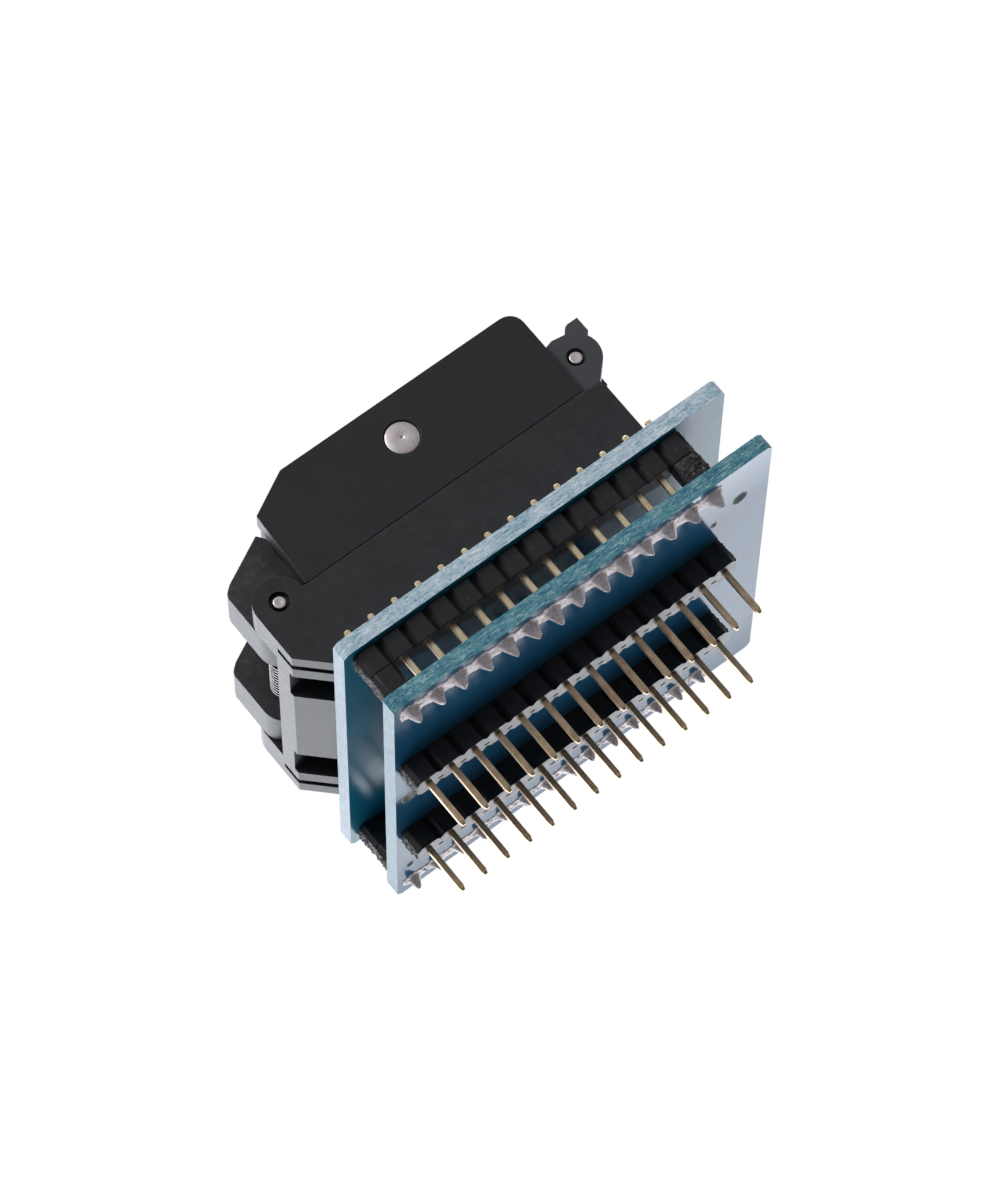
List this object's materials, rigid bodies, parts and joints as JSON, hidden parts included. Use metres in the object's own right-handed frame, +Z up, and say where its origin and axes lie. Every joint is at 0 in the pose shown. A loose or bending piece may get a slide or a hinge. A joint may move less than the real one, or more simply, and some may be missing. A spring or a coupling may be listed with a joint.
{
  "type": "programmer socket adapter",
  "caption": "Clamshell test socket with hinged lid, sprung latch and pressure pad, on two stacked square boards with a dual-row pin foot for a device programmer.",
  "frame": {"origin": "middle of the object's footprint, at the tips of the foot pins", "axes": "+X along the pin rows, from the latch end to the hinge end; +Y across the pin rows; +Z up, from the pin tips to the lid"},
  "size_m": [0.0436, 0.0422, 0.0343],
  "materials": {
    "board_blue": "glossy blue solder mask on glass-fibre board",
    "header_black": "moulded black header plastic",
    "pin_gold": "pale gold plating",
    "base_black": "satin black moulding",
    "lid_charcoal": "satin charcoal moulding",
    "pad_aluminium": "satin anodised",
    "pin_steel": "turned steel",
    "spring_steel": "bright wire",
    "contact_brown": "moulded wafer with gold-plated contacts",
    "nest_grey": "satin grey moulding"
  },
  "bodies": {
    "adapter": {"contact_wafer_far": "contact_brown", "contact_wafer_left": "contact_brown", "contact_wafer_near": "contact_brown", "contact_wafer_right": "contact_brown", "foot_pin_far_01": "pin_gold", "foot_pin_far_02": "pin_gold", "foot_pin_far_03": "pin_gold", "foot_pin_far_04": "pin_gold", "foot_pin_far_05": "pin_gold", "foot_pin_far_06": "pin_gold", "foot_pin_far_07": "pin_gold", "foot_pin_far_08": "pin_gold", "foot_pin_far_09": "pin_gold", "foot_pin_far_10": "pin_gold", "foot_pin_far_11": "pin_gold", "foot_pin_far_12": "pin_gold", "foot_pin_far_13": "pin_gold", "foot_pin_far_14": "pin_gold", "foot_pin_near_01": "pin_gold", "foot_pin_near_02": "pin_gold", "foot_pin_near_03": "pin_gold", "foot_pin_near_04": "pin_gold", "foot_pin_near_05": "pin_gold", "foot_pin_near_06": "pin_gold", "foot_pin_near_07": "pin_gold", "foot_pin_near_08": "pin_gold", "foot_pin_near_09": "pin_gold", "foot_pin_near_10": "pin_gold", "foot_pin_near_11": "pin_gold", "foot_pin_near_12": "pin_gold", "foot_pin_near_13": "pin_gold", "foot_pin_near_14": "pin_gold", "foot_strip_far": "header_black", "foot_strip_near": "header_black", "hinge_pin": "pin_steel", "hinge_spring": "spring_steel", "latch_pin": "pin_steel", "latch_spring": "spring_steel", "link_header_far": "header_black", "link_header_near": "header_black", "lower_board": "board_blue", "nest_spring_far_left": "spring_steel", "nest_spring_far_right": "spring_steel", "nest_spring_near_left": "spring_steel", "nest_spring_near_right": "spring_steel", "socket_base": "base_black", "spacer_far_left": "header_black", "spacer_far_right": "header_black", "spacer_near_left": "header_black", "spacer_near_right": "header_black", "upper_board": "board_blue"},
    "lid": {"pressure_pin": "pin_steel", "socket_lid": "lid_charcoal"},
    "pad": {"pressure_pad": "pad_aluminium"},
    "latch": {"latch": "lid_charcoal"},
    "nest": {"nest_plate": "nest_grey"}
  },
  "joints": [
    {"name": "lid_hinge", "type": "hinge", "parent": "adapter", "child": "lid", "pos_m": [0.01592, 0, 0.02735], "axis": [0, 1, 0], "range_deg": [0, 98], "deforming": ["hinge_spring"]},
    {"name": "pad_tilt", "type": "hinge", "parent": "lid", "child": "pad", "pos_m": [-0.00123, 0, 0.03033], "axis": [0, 1, 0], "range_deg": [-2, 2]},
    {"name": "latch_hinge", "type": "hinge", "parent": "adapter", "child": "latch", "pos_m": [-0.0194, 0, 0.02418], "axis": [0, -1, 0], "range_deg": [0, 22], "stiffness_Nm_per_rad": 0.02, "springref_deg": -11.46, "deforming": ["latch_spring"]},
    {"name": "nest_slide", "type": "slide", "parent": "adapter", "child": "nest", "axis": [0, 0, -1], "range_m": [0, 0.0006], "stiffness_N_per_m": 2000, "springref_m": -0.0005, "deforming": ["nest_spring_near_left", "nest_spring_near_right", "nest_spring_far_left", "nest_spring_far_right"]}
  ]
}
